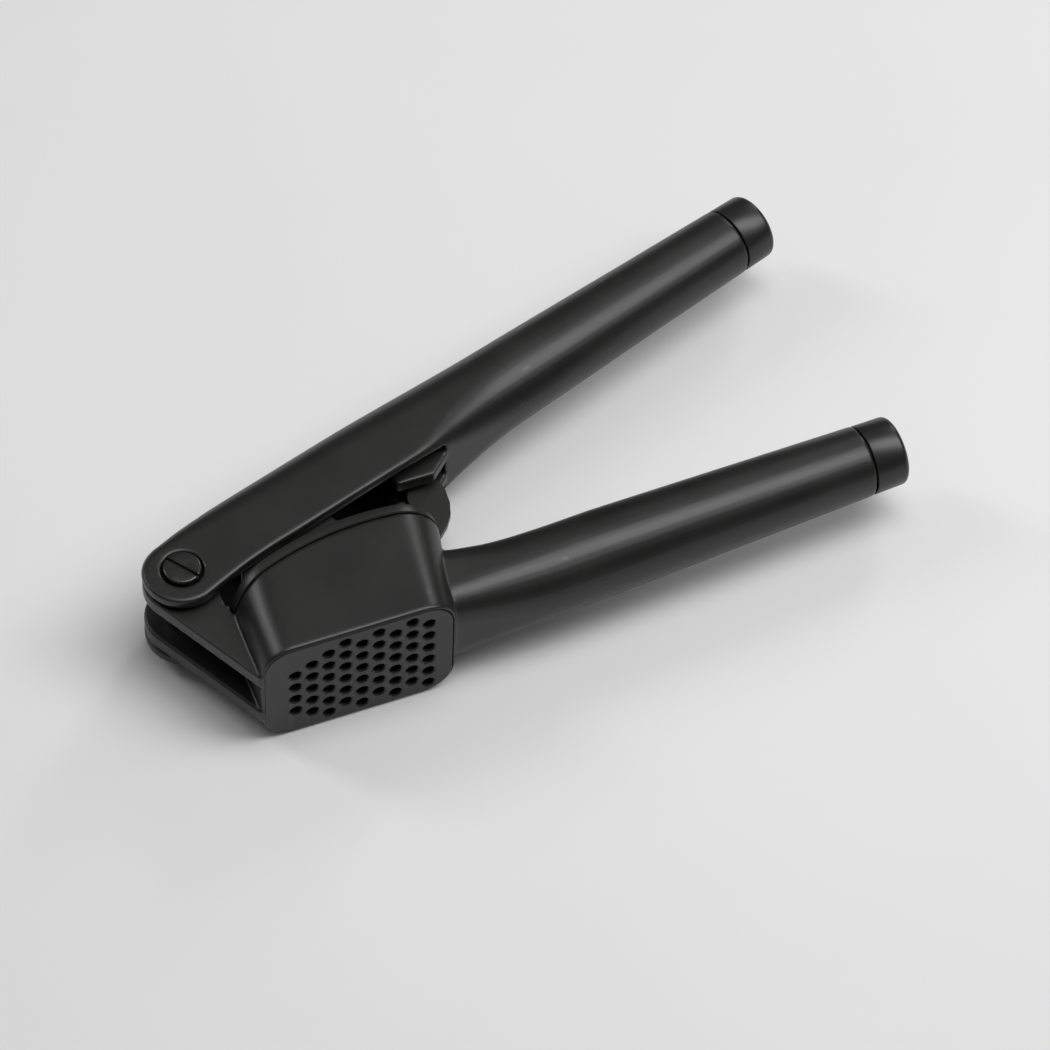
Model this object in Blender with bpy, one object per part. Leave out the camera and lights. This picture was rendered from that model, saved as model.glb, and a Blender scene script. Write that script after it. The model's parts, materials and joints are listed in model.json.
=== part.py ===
"""Garlic press: a hinged hand press with tubular handles and a lift-out sieve basket.

Frame: the press lies on the flat side of its sleeve.  +Z is the hinge axis, +X runs along
the lower handle and +Y points from the perforated floor towards the upper lever.
All lengths below are millimetres; MM turns them into metres.
"""
import math

import bmesh
import bpy
from mathutils import Matrix, Vector

MM = 0.001
GAP = 0.3                      # running and fitting clearance between two pieces

# ---- hinge -----------------------------------------------------------------
EYE_R = 8.6                    # round end of the lever ears and of the fork plates
FORK_IN, FORK_OUT = 4.5, 8.2   # half widths of the fork slot and of the fork
EAR_IN, EAR_OUT = 9.2, 11.8    # half widths inside and outside the lever channel
BARREL_R = 2.7                 # hinge barrel
BORE_R = BARREL_R + GAP
HEAD_R, HEAD_TOP = 4.1, 12.45  # slotted heads of the hinge screw and barrel
SINK_R, SINK_Z = 4.55, 10.2    # counterbore in each lever ear
SHANK_R = 1.7

# ---- lever -----------------------------------------------------------------
LEVER_ANGLE = 18.4             # degrees above +X in the modelled pose
LEVER_LIFT = 3.0               # lever tube axis above the hinge
LEVER_END, LEVER_ROUND, LEVER_R1, LEVER_R2 = 155.4, 130.0, 8.3, 7.75
CHANNEL_TOP, CHANNEL_END = 8.7, 66.0
CHANNEL_CORNER = 5.0
EYE_ROOM = 12.0                # the lever is open above the fork up to here
PIN_T, PIN_N, PIN_R = 30.0, -2.3, 2.0
PIN_HALF = 10.6
LUG_Z = (2.4, 5.6)             # two guide lugs, one on each side of the basket tab

# ---- sleeve, basket and lower handle ----------------------------------------
FLOOR_Y = -29.9                # outer face of the perforated floor
SLEEVE_X = (7.2, 50.6)         # sleeve ends at the floor
MOUTH_X = (7.0, 55.8)          # sleeve ends at the mouth
SLEEVE_W = 15.2                # half width of the sleeve
FLOOR_CORNER, MOUTH_CORNER = 7.0, 9.5
WAIST_Y = -18.0                # a level below the lowest point of the arched mouth
SLEEVE_WALL, BASKET_WALL = 1.0, 0.6
FLOOR_T, RIM_H = 1.5, 2.5
ARCH_X, ARCH_Y, ARCH_R = 40.0, -4.0, 68.0
HOLE_R, PITCH_Z = 1.35, 4.32
PITCH_X = PITCH_Z * math.sqrt(3.0) / 2.0
HOLE_X0, HOLE_Z0 = 14.6, 1.08
TAB_Z = (-0.75, 0.75)
LOWER_ANGLE, LOWER_DROP = 3.2, -23.6
LOWER_END, LOWER_ROUND, LOWER_R1, LOWER_R2 = 149.6, 88.0, 9.5, 7.9

# ---- end caps ---------------------------------------------------------------
CAP_LEN, CAP_GAP, TUBE_WALL, SPIGOT = 8.2, 0.3, 2.2, 11.0

# ---- plunger ----------------------------------------------------------------
CLOSE_ANGLE = 12.5             # how far the lever closes from the modelled pose
PLUNGER_RATIO = 0.25           # plunger turns back by this share of the lever angle
HEAD_X = (11.4, 45.6)          # pressing head, with the press closed
HEAD_W, HEAD_T = 11.8, 4.5
STEM_W = 8.4

ROOT_SHIFT = (-75.301, -15.726, SLEEVE_W)   # puts the origin under the middle of the press


def clear_scene():
    for obj in list(bpy.data.objects):
        bpy.data.objects.remove(obj, do_unlink=True)


def material(name, colour, rough, metal):
    mat = bpy.data.materials.new(name)
    mat.use_nodes = True
    shader = mat.node_tree.nodes["Principled BSDF"]
    shader.inputs["Base Color"].default_value = (*colour, 1.0)
    shader.inputs["Roughness"].default_value = rough
    shader.inputs["Metallic"].default_value = metal
    return mat


def make_object(name, bm):
    """Turn a bmesh in millimetres into an object in metres, faces out."""
    bmesh.ops.recalc_face_normals(bm, faces=bm.faces)
    bmesh.ops.scale(bm, vec=(MM, MM, MM), verts=bm.verts)
    mesh = bpy.data.meshes.new(name)
    bm.to_mesh(mesh)
    bm.free()
    obj = bpy.data.objects.new(name, mesh)
    bpy.context.collection.objects.link(obj)
    return obj


def loft(name, rings, strips=False):
    """Skin a list of closed rings and cap both ends, arched ends with strips across Z."""
    bm = bmesh.new()
    loops = [[bm.verts.new(p) for p in ring] for ring in rings]
    count = len(loops[0])
    for low, high in zip(loops, loops[1:]):
        for i in range(count):
            j = (i + 1) % count
            bm.faces.new((low[i], low[j], high[j], high[i]))
    for loop in (loops[0], loops[-1]):
        if strips:
            for i in range(count // 2 - 1):
                bm.faces.new((loop[i], loop[i + 1], loop[count - 2 - i], loop[count - 1 - i]))
        else:
            bm.faces.new(loop)
    bmesh.ops.connect_verts_nonplanar(bm, angle_limit=0.0001, faces=bm.faces)
    return make_object(name, bm)


def slab(name, outline, z_low, z_high):
    """An outline in the XY plane, raised from z_low to z_high."""
    return loft(name, [[(x, y, z) for x, y in outline] for z in (z_low, z_high)])


def block(name, x, y, z):
    return slab(name, [(x[0], y[0]), (x[1], y[0]), (x[1], y[1]), (x[0], y[1])], *z)


def turned(name, profile, sides=32):
    """A solid of revolution about Z; profile is a list of (radius, z) from the axis out."""
    rings = [[(r * math.cos(2 * math.pi * i / sides), r * math.sin(2 * math.pi * i / sides), z)
              for i in range(sides)] for r, z in profile]
    return loft(name, rings)


def tube(name, inner, outer, z_low, z_high, sides=32):
    """A ring with a square section about Z."""
    bm = bmesh.new()
    section = [(outer, z_low), (outer, z_high), (inner, z_high), (inner, z_low)]
    loops = []
    for r, z in section:
        loops.append([bm.verts.new((r * math.cos(2 * math.pi * i / sides),
                                    r * math.sin(2 * math.pi * i / sides), z))
                      for i in range(sides)])
    for k in range(4):
        low, high = loops[k], loops[(k + 1) % 4]
        for i in range(sides):
            j = (i + 1) % sides
            bm.faces.new((low[i], low[j], high[j], high[i]))
    return make_object(name, bm)


def boolean(target, tool, operation):
    """Apply one exact Boolean and remove its tool."""
    mod = target.modifiers.new(operation, "BOOLEAN")
    mod.operation = operation
    mod.solver = "EXACT"
    mod.object = tool
    depsgraph = bpy.context.evaluated_depsgraph_get()
    mesh = bpy.data.meshes.new_from_object(target.evaluated_get(depsgraph))
    target.modifiers.clear()
    target.data = mesh
    bpy.data.objects.remove(tool, do_unlink=True)


def cut(target, *tools):
    for tool in tools:
        boolean(target, tool, "DIFFERENCE")


def join(target, *tools):
    for tool in tools:
        boolean(target, tool, "UNION")


def turn(obj, degrees, offset=(0.0, 0.0)):
    """Turn an object's mesh about Z and then move it, in millimetres."""
    obj.data.transform(Matrix.Translation((offset[0] * MM, offset[1] * MM, 0.0))
                       @ Matrix.Rotation(math.radians(degrees), 4, "Z"))


def move(obj, x, y, z=0.0):
    obj.data.transform(Matrix.Translation((x * MM, y * MM, z * MM)))


def arc(centre, radius, start, stop, steps):
    return [(centre[0] + radius * math.cos(math.radians(start + (stop - start) * i / steps)),
             centre[1] + radius * math.sin(math.radians(start + (stop - start) * i / steps)))
            for i in range(steps + 1)]


def rounded_box(low, high, half, r_high, r_low, steps=5):
    """A closed outline in (n, z): n from low to high, z to +-half, two corner radii."""
    limit = 0.97 * min(half, (high - low) / 2.0)
    r_high, r_low = min(r_high, limit), min(r_low, limit)
    points = []
    points += arc((high - r_high, half - r_high), r_high, 0, 90, steps)
    points += arc((low + r_low, half - r_low), r_low, 90, 180, steps)
    points += arc((low + r_low, -half + r_low), r_low, 180, 270, steps)
    points += arc((high - r_high, -half + r_high), r_high, 270, 360, steps)
    return points


def blend(rows, t):
    """Read a row of values at t from (t, values...) rows, along one flowing curve."""
    t = min(max(t, rows[0][0]), rows[-1][0])
    k = next(i for i in range(len(rows) - 1) if t <= rows[i + 1][0])
    before, left, right, after = rows[max(k - 1, 0)], rows[k], rows[k + 1], rows[min(k + 2, len(rows) - 1)]
    span = right[0] - left[0]
    u = (t - left[0]) / span
    values = []
    for a, b, c, d in zip(before[1:], left[1:], right[1:], after[1:]):
        slope_in = span * (c - a) / (right[0] - before[0])
        slope_out = span * (d - b) / (after[0] - left[0])
        values.append((2 * u ** 3 - 3 * u ** 2 + 1) * b + (u ** 3 - 2 * u ** 2 + u) * slope_in
                      + (3 * u ** 2 - 2 * u ** 3) * c + (u ** 3 - u ** 2) * slope_out)
    return values


# ---- lever ------------------------------------------------------------------
# t along the lever: underside, back, half width, back corner, underside corner
LEVER_ROWS = [(0.0, -EYE_R, EYE_R + 0.3, EAR_OUT, 2.6, 0.8),
              (6.0, -7.9, 10.2, EAR_OUT, 4.2, 0.8),
              (14.0, -7.2, 11.2, EAR_OUT, 5.8, 0.8),
              (30.0, -7.2, 11.6, EAR_OUT, 7.0, 0.8),
              (50.0, -7.2, 12.0, 11.4, 8.0, 1.0),
              (61.0, -7.1, 12.2, 10.8, 8.6, 1.8),
              (72.0, LEVER_LIFT - 9.7, LEVER_LIFT + 9.3, 10.1, 9.0, 5.6),
              (84.0, LEVER_LIFT - 9.3, LEVER_LIFT + 9.2, 9.5, 9.1, 8.4),
              (100.0, LEVER_LIFT - 9.1, LEVER_LIFT + 9.0, 9.05, 8.95, 8.9),
              (LEVER_ROUND, LEVER_LIFT - LEVER_R1, LEVER_LIFT + LEVER_R1, LEVER_R1, LEVER_R1, LEVER_R1)]


def lever_ring(t):
    if t < 0.0:
        reach = math.sqrt(max(0.0, 1.0 - (t / EYE_R) ** 2))
        low, high, half, r_high, r_low = LEVER_ROWS[0][1:]
        section = rounded_box(low * reach, high * reach, half, r_high * reach, r_low * reach)
    elif t > LEVER_ROUND:
        radius = LEVER_R1 + (LEVER_R2 - LEVER_R1) * (t - LEVER_ROUND) / (LEVER_END - LEVER_ROUND)
        section = rounded_box(LEVER_LIFT - radius, LEVER_LIFT + radius, radius, radius, radius)
    else:
        section = rounded_box(*blend(LEVER_ROWS, t))
    return [(t, n, z) for n, z in section]


def channel_ring(t, half):
    """Section of the open channel under the lever, rounded in its roof corners."""
    return [(t, n, z) for n, z in rounded_box(-20.0, CHANNEL_TOP, half, CHANNEL_CORNER, 0.5)]


def make_lever():
    nose = [-EYE_R * k for k in (0.995, 0.95, 0.86, 0.72, 0.5, 0.25)]
    body = [0.0, 5.0, 10.0, 14.0, 30.0, 50.0, 61.0, 67.0, 72.0, 78.0, 84.0, 100.0, LEVER_ROUND, LEVER_END]
    lever = loft("lever_body", [lever_ring(t) for t in nose + body])
    cut(lever, loft("channel", [channel_ring(EYE_ROOM - 2.0, EAR_IN), channel_ring(54.0, EAR_IN),
                                channel_ring(CHANNEL_END, EAR_IN - 1.4)]))
    cut(lever, block("eye_room", (-20.0, EYE_ROOM), (-20.0, 20.0), (-EAR_IN - 0.01, EAR_IN + 0.01)))
    for side in (-1, 1):
        join(lever, slab("lug", [(52.4, -7.3), (60.4, -10.0), (66.0, -7.4), (68.0, -5.5),
                                 (68.0, CHANNEL_TOP + 1.0), (52.4, CHANNEL_TOP + 1.0)],
                         *sorted((side * LUG_Z[0], side * LUG_Z[1]))))
    bore = turned("bore", [(SINK_R, -20.0), (SINK_R, -SINK_Z), (BORE_R, -SINK_Z),
                           (BORE_R, SINK_Z), (SINK_R, SINK_Z), (SINK_R, 20.0)])
    pockets = turned("pockets", [(PIN_R + GAP, -PIN_HALF - GAP), (PIN_R + GAP, PIN_HALF + GAP)], 20)
    move(pockets, PIN_T, PIN_N)
    cut(lever, bore, pockets)
    cut(lever, handle_bore("lever_bore", 84.0, LEVER_END, LEVER_R1, LEVER_R2, LEVER_LIFT))
    turn(lever, LEVER_ANGLE)
    return lever


def handle_ring(t, radius, lift, sides=24):
    return [(t, lift + radius * math.cos(2 * math.pi * i / sides),
             radius * math.sin(2 * math.pi * i / sides)) for i in range(sides)]


def handle_bore(name, start, end, r_start, r_end, lift):
    """The hollow of a handle, open at its far end."""
    return loft(name, [handle_ring(start, r_start - TUBE_WALL - 0.8, lift),
                       handle_ring(end - SPIGOT - 2.0, r_end - TUBE_WALL, lift),
                       handle_ring(end + 5.0, r_end - TUBE_WALL, lift)])


def make_cap(name, end, radius, lift, angle):
    """A moulded plug: a spigot inside the tube and a round-edged button outside."""
    start = end + CAP_GAP
    spigot_r = radius - TUBE_WALL - GAP
    edge = 1.3
    rings = [handle_ring(end - SPIGOT, spigot_r - 0.6, lift), handle_ring(end - SPIGOT + 1.0, spigot_r, lift),
             handle_ring(start, spigot_r, lift), handle_ring(start + 0.02, radius - 0.25, lift),
             handle_ring(start + 0.3, radius, lift)]
    for k in range(5):
        a = math.radians(90.0 * k / 4.0)
        rings.append(handle_ring(end + CAP_LEN - edge + edge * math.sin(a),
                                 radius - 0.15 - edge * (1.0 - math.cos(a)), lift))
    cap = loft(name, rings)
    turn(cap, angle)
    return cap


# ---- sleeve and basket -------------------------------------------------------
def arch(x):
    """Height of the sleeve's mouth edge at a station along the sleeve."""
    return ARCH_Y - ARCH_R + math.sqrt(ARCH_R ** 2 - (x - ARCH_X) ** 2)


def sleeve_ring(y_of_x, depth, inset):
    """Ring of the sleeve's outline, depth 0 at the floor and 1 at the mouth."""
    x0 = SLEEVE_X[0] + (MOUTH_X[0] - SLEEVE_X[0]) * depth + inset
    x1 = SLEEVE_X[1] + (MOUTH_X[1] - SLEEVE_X[1]) * depth - inset
    corner = FLOOR_CORNER + (MOUTH_CORNER - FLOOR_CORNER) * depth - inset
    half = SLEEVE_W - inset
    side = arc((x1 - corner, half - corner), corner, 0, 90, 6)
    side += [(x1 - corner + (x0 - x1 + 2.0 * corner) * k / 5.0, half) for k in range(1, 5)]
    side += arc((x0 + corner, half - corner), corner, 90, 180, 6)
    return [(x, y_of_x(x), z) for x, z in side] + [(x, y_of_x(x), -z) for x, z in reversed(side)]


def level(y):
    return lambda x: y


def above_mouth(rise):
    return lambda x: arch(x) + rise


def depth_at(y):
    return (y - FLOOR_Y) / (ARCH_Y - FLOOR_Y)


def make_lower_body():
    body = loft("lower_body", [
        sleeve_ring(level(FLOOR_Y), 0.0, 0.7), sleeve_ring(level(FLOOR_Y + 0.7), depth_at(FLOOR_Y + 0.7), 0.0),
        sleeve_ring(level(WAIST_Y), depth_at(WAIST_Y), 0.0), sleeve_ring(above_mouth(0.0), 1.0, 0.0)], True)
    join(body, make_neck())
    for side in (-1, 1):
        z = sorted((side * FORK_IN, side * FORK_OUT))
        outline = arc((0.0, 0.0), EYE_R, -43.0, 212.0, 22)
        outline += [(SLEEVE_X[0] - 0.4, FLOOR_Y + 0.02), (9.5, FLOOR_Y + 0.02), (9.5, -9.6), (6.2, -9.6)]
        join(body, slab("fork_plate", outline, *z))
    cut(body, loft("cavity", [
        sleeve_ring(level(FLOOR_Y - 3.0), 0.0, SLEEVE_WALL), sleeve_ring(level(FLOOR_Y), 0.0, SLEEVE_WALL),
        sleeve_ring(level(WAIST_Y), depth_at(WAIST_Y), SLEEVE_WALL), sleeve_ring(above_mouth(2.0), 1.0, SLEEVE_WALL)], True))
    cut(body, loft("rim_room", [sleeve_ring(above_mouth(0.0), 1.0, -GAP),
                                sleeve_ring(above_mouth(RIM_H + 2.0 * GAP), 1.0, -GAP)], True))
    cut(body, turned("bore", [(BORE_R, -20.0), (BORE_R, 20.0)], 24))
    bore = handle_bore("lower_bore", 84.0, LOWER_END, LOWER_R1, LOWER_R2, LOWER_DROP)
    turn(bore, LOWER_ANGLE)
    cut(body, bore)
    return body


# s along the lower handle: underside, back, half width, corner radius
NECK_ROWS = [(47.0, -31.4, -13.0, 11.0, 6.0),
             (52.0, -31.7, -13.3, 10.8, 6.6),
             (57.0, -32.1, -13.8, 10.4, 7.4),
             (64.0, -32.7, -14.3, 10.0, 8.4),
             (74.0, LOWER_DROP - 9.6, LOWER_DROP + 9.4, 9.6, 9.2),
             (LOWER_ROUND, LOWER_DROP - LOWER_R1, LOWER_DROP + LOWER_R1, LOWER_R1, LOWER_R1)]


def make_neck():
    rings = []
    for s in (47.0, 52.0, 57.0, 62.0, 67.0, 72.0, 77.0, 82.0, LOWER_ROUND):
        low, high, half, corner = blend(NECK_ROWS, s)
        rings.append([(s, n, z) for n, z in rounded_box(low, high, half, corner, corner)])
    for s in (118.0, LOWER_END):
        radius = LOWER_R1 + (LOWER_R2 - LOWER_R1) * (s - LOWER_ROUND) / (LOWER_END - LOWER_ROUND)
        rings.append([(s, n, z) for n, z in rounded_box(LOWER_DROP - radius, LOWER_DROP + radius,
                                                        radius, radius, radius)])
    neck = loft("neck", rings)
    turn(neck, LOWER_ANGLE)
    return neck


def hole_centres():
    """Nine staggered columns of round holes; the hinge-side corners are left solid."""
    centres = []
    for column in range(9):
        rows = (2, 1, 0, -1, -2, -3) if column % 2 == 0 else (2.5, 1.5, 0.5, -0.5, -1.5, -2.5)
        if column == 0:
            rows = rows[1:-1]
        if column == 1:
            rows = rows[1:]
        centres += [(HOLE_X0 + column * PITCH_X, HOLE_Z0 + row * PITCH_Z) for row in rows]
    return centres


def make_basket():
    fit = SLEEVE_WALL + GAP
    basket = loft("sieve_basket", [
        sleeve_ring(level(FLOOR_Y + 0.05), 0.0, fit), sleeve_ring(level(WAIST_Y), depth_at(WAIST_Y), fit),
        sleeve_ring(above_mouth(GAP + 0.6), 1.0, fit)], True)
    rim = loft("rim", [sleeve_ring(above_mouth(GAP), 1.0, 0.0),
                       sleeve_ring(above_mouth(GAP + RIM_H - 0.5), 1.0, 0.0),
                       sleeve_ring(above_mouth(GAP + RIM_H), 1.0, 0.5)], True)
    join(basket, rim)
    inner = fit + BASKET_WALL
    cut(basket, loft("hollow", [
        sleeve_ring(level(FLOOR_Y + FLOOR_T), 0.05, inner), sleeve_ring(level(WAIST_Y), depth_at(WAIST_Y), inner),
        sleeve_ring(above_mouth(5.0), 1.0, inner)], True))
    tab = [(53.9, -3.4), (53.9, 8.6), (54.6, 10.2), (56.5, 11.0), (62.0, 11.0), (62.5, 8.0)]
    tab += [(62.2, 4.5), (61.3, 1.6), (59.6, -0.9), (57.6, -2.8), (55.4, -4.6)]
    join(basket, slab("tab", tab, *TAB_Z))
    bm = bmesh.new()
    for x, z in hole_centres():
        low = [bm.verts.new((x + HOLE_R * math.cos(a), FLOOR_Y - 1.0, z + HOLE_R * math.sin(a)))
               for a in (math.pi * k / 5 for k in range(10))]
        high = [bm.verts.new(v.co + Vector((0.0, FLOOR_T + 2.0, 0.0))) for v in low]
        for i in range(10):
            j = (i + 1) % 10
            bm.faces.new((low[i], low[j], high[j], high[i]))
        bm.faces.new(low[::-1])
        bm.faces.new(high)
    cut(basket, make_object("holes", bm))
    return basket


# ---- plunger -----------------------------------------------------------------
def rotate(point, degrees):
    a = math.radians(degrees)
    return (point[0] * math.cos(a) - point[1] * math.sin(a),
            point[0] * math.sin(a) + point[1] * math.cos(a))


PIN_AT = rotate((PIN_T, PIN_N), LEVER_ANGLE)
PIN_CLOSED = rotate((PIN_T, PIN_N), LEVER_ANGLE - CLOSE_ANGLE)


def make_plunger():
    """Modelled with the press closed, then turned and carried to the open pose."""
    y0 = FLOOR_Y + FLOOR_T + 0.6
    corner = 5.0
    rings = []
    for y, inset in ((y0, 0.6), (y0 + 0.6, 0.0), (y0 + HEAD_T, 0.0)):
        outline = []
        for cx, cz, start in ((HEAD_X[1], 1, 0), (HEAD_X[0], 1, 90), (HEAD_X[0], -1, 180), (HEAD_X[1], -1, 270)):
            centre = (cx - corner if start in (0, 270) else cx + corner, cz * (HEAD_W - corner))
            outline += arc(centre, corner - inset, start, start + 90, 5)
        rings.append([(x, y, z) for x, z in outline])
    plunger = loft("plunger", rings)
    px, py = PIN_CLOSED
    top = py + 4.6
    side = [(13.0, y0 + HEAD_T - 0.5), (43.0, y0 + HEAD_T - 0.5), (37.6, -9.0), (36.3, -5.0),
            (px + 5.3, py - 3.2), (px + 4.6, top), (px - 8.0, top), (11.6, -6.2), (10.0, -9.6), (10.0, -12.5)]
    join(plunger, slab("stem", side, -STEM_W, STEM_W))
    hollow = [(17.0, y0 + HEAD_T), (39.0, y0 + HEAD_T), (35.0, -10.0), (33.0, py - 6.0),
              (px - 5.5, py - 6.0), (15.5, -11.0)]
    cut(plunger, slab("near_recess", hollow, 2.0, 20.0), slab("far_recess", hollow, -20.0, -2.0))
    hole = turned("hole", [(PIN_R + GAP, -20.0), (PIN_R + GAP, 20.0)], 20)
    move(hole, px, py)
    cut(plunger, hole)
    move(plunger, -px, -py)
    turn(plunger, (1.0 - PLUNGER_RATIO) * CLOSE_ANGLE, PIN_AT)
    return plunger


def make_pin():
    pin = turned("plunger_pin", [(PIN_R - 0.3, -PIN_HALF), (PIN_R, -PIN_HALF + 0.3),
                                 (PIN_R, PIN_HALF - 0.3), (PIN_R - 0.3, PIN_HALF)], 20)
    move(pin, *PIN_AT)
    return pin


# ---- hinge hardware ------------------------------------------------------------
def slot_cutter(z_low, z_high, angle):
    slot = block("slot", (-6.0, 6.0), (-0.45, 0.45), (z_low, z_high))
    turn(slot, angle)
    return slot


def make_screw():
    screw = turned("hinge_screw", [(SHANK_R - 0.3, -5.0), (SHANK_R, -4.6), (SHANK_R, SINK_Z + GAP),
                                   (HEAD_R, SINK_Z + GAP + 0.01), (HEAD_R, HEAD_TOP - 0.35),
                                   (HEAD_R - 0.35, HEAD_TOP)])
    cut(screw, slot_cutter(HEAD_TOP - 0.9, HEAD_TOP + 2.0, -53.0))
    return screw


def make_barrel():
    barrel = turned("hinge_barrel", [(HEAD_R - 0.35, -HEAD_TOP), (HEAD_R, -HEAD_TOP + 0.35),
                                     (HEAD_R, -SINK_Z - GAP - 0.01), (BARREL_R, -SINK_Z - GAP),
                                     (BARREL_R, SINK_Z - 0.1)])
    cut(barrel, turned("thread_bore", [(SHANK_R + GAP, -6.0), (SHANK_R + GAP, 20.0)], 24))
    cut(barrel, slot_cutter(-HEAD_TOP - 2.0, -HEAD_TOP + 0.9, 24.0))
    return barrel


def place(root, moving, parts):
    """Parent each moving piece to an empty on its joint axis and the rest to the root."""
    for obj, owner in parts:
        pivot = moving.get(owner)
        if pivot is None:
            obj.parent = root
        else:
            obj.data.transform(Matrix.Translation(-pivot.location))
            obj.parent = pivot


def shade(obj):
    obj.data.shade_smooth()
    obj.data.set_sharp_from_angle(angle=math.radians(32.0))


def main():
    clear_scene()
    coat = material("black_powder_coat", (0.022, 0.022, 0.021), 0.42, 0.3)
    cap_black = material("black_cap_plastic", (0.02, 0.02, 0.02), 0.36, 0.0)
    steel = material("blackened_steel", (0.05, 0.05, 0.048), 0.34, 0.9)
    nylon = material("dark_nylon", (0.03, 0.03, 0.03), 0.5, 0.0)

    lever, lower = make_lever(), make_lower_body()
    basket, plunger, pin = make_basket(), make_plunger(), make_pin()
    screw, barrel = make_screw(), make_barrel()
    spacer = tube("fork_spacer", BORE_R, 4.6, -FORK_IN + GAP, FORK_IN - GAP)
    near = tube("near_washer", BORE_R, 6.6, FORK_OUT + GAP, EAR_IN - GAP)
    far = tube("far_washer", BORE_R, 6.6, -EAR_IN + GAP, -FORK_OUT - GAP)
    upper_cap = make_cap("upper_end_cap", LEVER_END, LEVER_R2, LEVER_LIFT, LEVER_ANGLE)
    lower_cap = make_cap("lower_end_cap", LOWER_END, LOWER_R2, LOWER_DROP, LOWER_ANGLE)

    for obj, mat in ((lever, coat), (lower, coat), (basket, coat), (plunger, coat), (pin, steel),
                     (screw, steel), (barrel, steel), (spacer, steel), (near, nylon), (far, nylon),
                     (upper_cap, cap_black), (lower_cap, cap_black)):
        obj.data.materials.clear()
        obj.data.materials.append(mat)
        shade(obj)

    root = bpy.data.objects.new("press_root", None)
    root.location = Vector(ROOT_SHIFT) * MM
    hinge = bpy.data.objects.new("hinge_axis", None)
    pivot = bpy.data.objects.new("plunger_axis", None)
    pivot.location = Vector((PIN_AT[0], PIN_AT[1], 0.0)) * MM
    for empty in (root, hinge, pivot):
        bpy.context.collection.objects.link(empty)
    hinge.parent = root
    pivot.parent = root
    place(root, {"lever": hinge, "plunger": pivot},
          [(lever, "lever"), (pin, "lever"), (upper_cap, "lever"), (plunger, "plunger"),
           (lower, None), (basket, None), (screw, None), (barrel, None), (spacer, None),
           (near, None), (far, None), (lower_cap, None)])


main()
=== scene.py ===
# %% [markdown]
# # A garlic press, dressed for its portrait
# The mechanism comes in as a fixed frame of bodies and joints.  Everything below gives those
# bodies the surfaces of the real thing: castings with soft corners under a satin black powder
# coat, a pressed sieve basket, turned steel hinge heads and moulded end plugs.

import json
import math

import bmesh
import bpy
from mathutils import Matrix, Vector


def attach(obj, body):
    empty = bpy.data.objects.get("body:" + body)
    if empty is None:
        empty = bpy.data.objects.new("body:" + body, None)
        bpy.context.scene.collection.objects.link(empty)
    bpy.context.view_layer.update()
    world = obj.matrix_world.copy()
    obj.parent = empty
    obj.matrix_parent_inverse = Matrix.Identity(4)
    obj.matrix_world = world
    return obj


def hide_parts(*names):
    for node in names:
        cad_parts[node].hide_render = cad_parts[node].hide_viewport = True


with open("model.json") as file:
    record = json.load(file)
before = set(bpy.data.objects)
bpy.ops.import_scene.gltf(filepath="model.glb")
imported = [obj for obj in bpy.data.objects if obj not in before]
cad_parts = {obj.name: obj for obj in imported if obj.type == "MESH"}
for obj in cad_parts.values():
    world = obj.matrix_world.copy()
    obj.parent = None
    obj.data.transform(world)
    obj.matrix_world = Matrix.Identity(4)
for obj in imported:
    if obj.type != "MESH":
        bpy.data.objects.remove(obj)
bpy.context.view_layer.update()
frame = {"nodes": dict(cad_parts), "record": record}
MM = 0.001
THROUGH = 20.0                 # half length of a cutter that goes right through the press
HINGE = Vector(next(joint["pos_m"] for joint in frame["record"]["behaviour"]["joints"]
                    if joint["name"] == "lever_hinge"))

# %% [markdown]
# ## Drawing tools
# A casting is drawn the way a pattern maker thinks of it: cross sections strung along an axis.
# One helper makes a section, one skins a list of sections into a closed solid, and one adds or
# cuts solids.  Lengths are millimetres from the hinge until the mesh is stored in metres.

# %% Sections and skins
def arc(centre, radius, start, stop, steps):
    """Points on a circular arc, angles in degrees."""
    return [(centre[0] + radius * math.cos(math.radians(start + (stop - start) * i / steps)),
             centre[1] + radius * math.sin(math.radians(start + (stop - start) * i / steps)))
            for i in range(steps + 1)]


def rounded_box(low, high, half, r_high, r_low, steps=10):
    """A section in (n, z) with one corner radius on the back and one underneath."""
    limit = 0.98 * min(half, (high - low) / 2.0)
    r_high, r_low = min(r_high, limit), min(r_low, limit)
    return (arc((high - r_high, half - r_high), r_high, 0, 90, steps)
            + arc((low + r_low, half - r_low), r_low, 90, 180, steps)
            + arc((low + r_low, -half + r_low), r_low, 180, 270, steps)
            + arc((high - r_high, -half + r_high), r_high, 270, 360, steps))


def blend_rows(rows, t):
    """Read a row of values at t from (t, values...) rows, along one flowing curve."""
    t = min(max(t, rows[0][0]), rows[-1][0])
    k = next(i for i in range(len(rows) - 1) if t <= rows[i + 1][0])
    left, right = rows[k], rows[k + 1]
    before, after = rows[max(k - 1, 0)], rows[min(k + 2, len(rows) - 1)]
    span = right[0] - left[0]
    u = (t - left[0]) / span
    values = []
    for a, b, c, d in zip(before[1:], left[1:], right[1:], after[1:]):
        slope_in = span * (c - a) / (right[0] - before[0])
        slope_out = span * (d - b) / (after[0] - left[0])
        values.append((2 * u ** 3 - 3 * u ** 2 + 1) * b + (u ** 3 - 2 * u ** 2 + u) * slope_in
                      + (3 * u ** 2 - 2 * u ** 3) * c + (u ** 3 - u ** 2) * slope_out)
    return values


def solid(name, bm):
    """Store a bmesh, drawn in millimetres from the hinge, as an object in metres."""
    bmesh.ops.recalc_face_normals(bm, faces=bm.faces)
    bmesh.ops.scale(bm, vec=(MM, MM, MM), verts=bm.verts)
    mesh = bpy.data.meshes.new(name)
    bm.to_mesh(mesh)
    bm.free()
    obj = bpy.data.objects.new(name, mesh)
    bpy.context.scene.collection.objects.link(obj)
    return obj


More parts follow.
